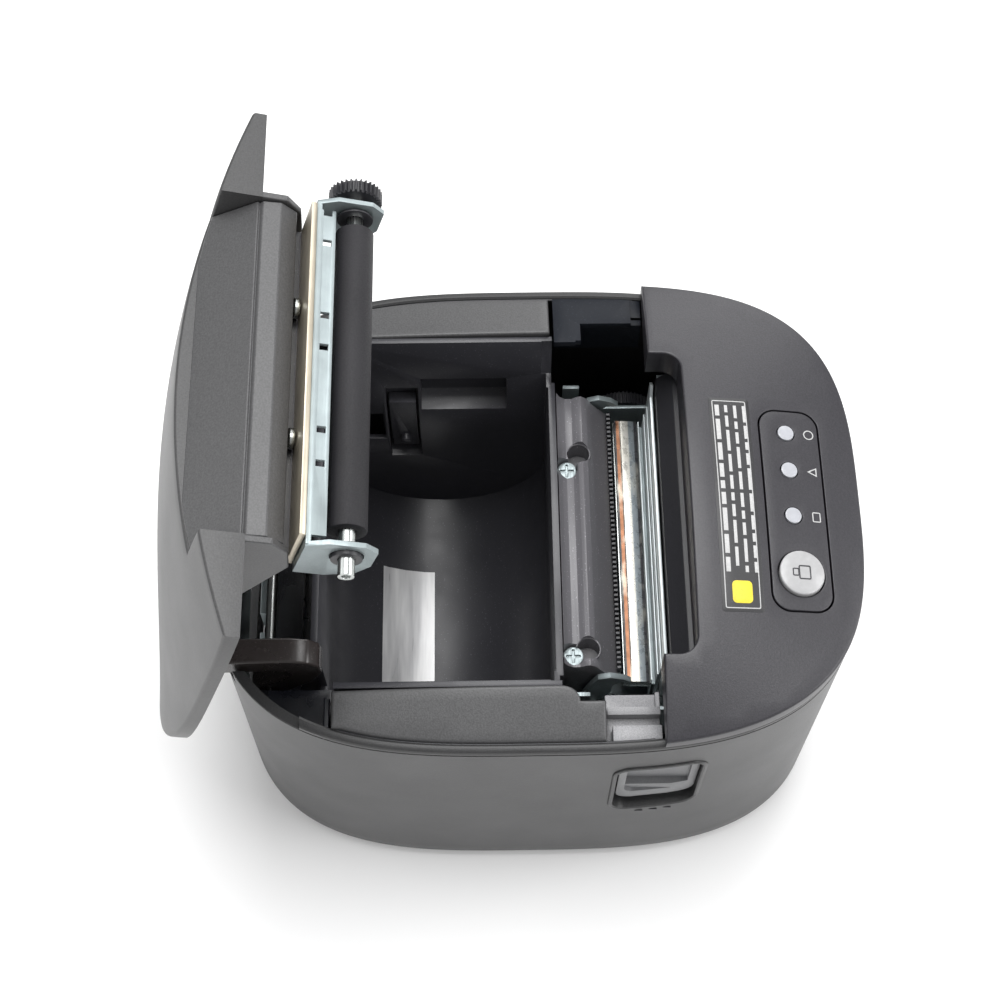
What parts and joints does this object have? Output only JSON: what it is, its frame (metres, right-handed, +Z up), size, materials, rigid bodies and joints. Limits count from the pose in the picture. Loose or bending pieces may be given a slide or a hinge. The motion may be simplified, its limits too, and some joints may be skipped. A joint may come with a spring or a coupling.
{
  "type": "receipt printer",
  "caption": "Desktop thermal receipt printer with a domed dark grey case, its hinged lid open to show the paper bay, print head, cutter and platen.",
  "frame": {"origin": "centre of the bottom plate's underside", "axes": "+Z up; +X along the platen roller, towards the gear side; -Y is the front with the paper exit and the control panel"},
  "size_m": [0.1471, 0.1993, 0.1953],
  "materials": {
    "shell": "textured dark grey ABS",
    "liner": "satin dark grey",
    "gloss_black": "glossy black",
    "steel": "bright",
    "zinc": "blue-grey zinc plated",
    "rubber": "matt",
    "cream": "pale, warm, satin",
    "board": "solder mask",
    "light": "translucent white",
    "brass": "machined"
  },
  "bodies": {
    "base": {"lower_case": "shell", "bottom_plate": "gloss_black", "rubber_foot_1": "rubber", "rubber_foot_2": "rubber", "rubber_foot_3": "rubber", "rubber_foot_4": "rubber", "case_screw_1": "zinc", "case_screw_2": "zinc", "case_screw_3": "zinc", "case_screw_4": "zinc", "front_cover": "shell", "notice_label": "gloss_black", "status_light_1": "light", "status_light_2": "light", "status_light_3": "light", "right_ledge": "shell", "left_ledge": "shell", "gear_side_deck": "gloss_black", "lever_side_deck": "liner", "paper_bucket": "gloss_black", "near_end_sensor": "liner", "bucket_plate": "steel", "paper_guide": "gloss_black", "guide_screw_1": "zinc", "guide_screw_2": "zinc", "print_head": "cream", "heat_sink": "steel", "mechanism_frame": "zinc", "front_guide_plate": "steel", "cutter_motor": "zinc", "cutter_housing": "liner", "feed_motor": "zinc", "hinge_bracket": "zinc", "hinge_rod": "steel", "main_board": "board", "dc_inlet": "gloss_black", "usb_port": "steel", "network_port": "steel", "drawer_port": "gloss_black", "switch_frame": "gloss_black"},
    "lid": {"lid_shell": "shell", "lid_liner": "liner", "platen_bracket": "zinc", "fixed_blade": "cream", "bracket_screw_1": "zinc", "bracket_screw_2": "zinc", "left_bearing": "gloss_black", "right_bearing": "gloss_black"},
    "platen": {"platen_shaft": "steel", "platen_rubber": "rubber", "platen_gear": "gloss_black"},
    "drive_gear": {"drive_gear": "gloss_black"},
    "idler_gear": {"idler_gear": "light"},
    "motor_pinion": {"motor_pinion": "brass"},
    "moving_blade": {"moving_blade": "steel"},
    "cutter_pinion": {"cutter_pinion": "brass"},
    "latch": {"latch": "zinc"},
    "open_lever": {"open_lever": "liner"},
    "feed_button": {"feed_button": "light"},
    "power_switch": {"power_switch": "liner"}
  },
  "joints": [
    {"name": "lid_hinge", "type": "hinge", "parent": "base", "child": "lid", "pos_m": [0, 0.0739, 0.0788], "axis": [1, 0, 0], "range_deg": [0, 73]},
    {"name": "platen_spin", "type": "hinge", "parent": "lid", "child": "platen", "pos_m": [0, 0.04362, 0.17955], "axis": [1, 0, 0], "continuous": true},
    {"name": "drive_gear_spin", "type": "hinge", "parent": "base", "child": "drive_gear", "pos_m": [0, -0.0313, 0.0631], "axis": [1, 0, 0], "continuous": true},
    {"name": "idler_gear_spin", "type": "hinge", "parent": "base", "child": "idler_gear", "pos_m": [0, -0.04655, 0.0631], "axis": [1, 0, 0], "continuous": true},
    {"name": "motor_pinion_spin", "type": "hinge", "parent": "base", "child": "motor_pinion", "pos_m": [0, -0.0562, 0.0631], "axis": [1, 0, 0], "continuous": true},
    {"name": "blade_stroke", "type": "slide", "parent": "base", "child": "moving_blade", "axis": [0, 1, 0], "range_m": [0, 0.0045]},
    {"name": "cutter_pinion_spin", "type": "hinge", "parent": "base", "child": "cutter_pinion", "pos_m": [0, -0.05, 0.0925], "axis": [0, 0, -1], "range_deg": [0, 72]},
    {"name": "latch_release", "type": "hinge", "parent": "base", "child": "latch", "pos_m": [0, -0.0186, 0.062], "axis": [-1, 0, 0], "range_deg": [0, 12], "stiffness_Nm_per_rad": 0.25, "springref_deg": -11.46},
    {"name": "open_lever_press", "type": "slide", "parent": "base", "child": "open_lever", "axis": [0, 0, -1], "range_m": [0, 0.0024]},
    {"name": "feed_button_press", "type": "slide", "parent": "base", "child": "feed_button", "axis": [0, 0, -1], "range_m": [0, 0.0008], "stiffness_N_per_m": 400, "springref_m": -0.0008},
    {"name": "power_switch_rock", "type": "hinge", "parent": "base", "child": "power_switch", "pos_m": [0.0706, 0, 0.024], "axis": [0, -1, 0], "range_deg": [0, 16]}
  ],
  "couplings": [
    {"joint": "idler_gear_spin", "follows": "drive_gear_spin", "ratio": -1.375},
    {"joint": "motor_pinion_spin", "follows": "drive_gear_spin", "ratio": 2.75},
    {"joint": "cutter_pinion_spin", "follows": "blade_stroke", "rad_per_m": 277.78},
    {"joint": "latch_release", "follows": "open_lever_press", "rad_per_m": 87.266}
  ]
}
